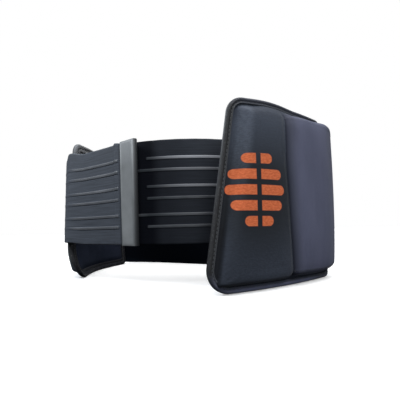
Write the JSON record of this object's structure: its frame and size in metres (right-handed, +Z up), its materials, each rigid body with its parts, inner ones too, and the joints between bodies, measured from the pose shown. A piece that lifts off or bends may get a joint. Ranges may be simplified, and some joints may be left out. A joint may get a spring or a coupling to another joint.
{
  "type": "kidney belt",
  "caption": "Sport kidney belt fastened into a standing loop: bound foam side pads, a wide back panel and ribbed elastic straps that overlap at the front under a grip tab.",
  "frame": {"origin": "middle of the belt's bounding box, on the floor plane that it stands on", "axes": "+Z up the wearer's body, -Y the wearer's front where the straps overlap, +X the wearer's left"},
  "size_m": [0.3356, 0.1965, 0.1657],
  "materials": {
    "pad_cover": "matt knitted cover over foam",
    "binding_tape": "folded woven tape",
    "panel_cloth": "satin stretch cloth",
    "strap_elastic": "woven elastic with glossy ribs",
    "hook_tape": "matt hook tape",
    "tab_tape": "smooth matt grey tape"
  },
  "bodies": {
    "root": {"left_pad": "pad_cover", "left_binding": "binding_tape", "right_pad": "pad_cover", "right_binding": "binding_tape", "back_panel": "panel_cloth", "under_strap": "strap_elastic", "outer_strap": "strap_elastic", "hook_patch": "hook_tape", "grip_tab": "tab_tape"}
  },
  "joints": []
}
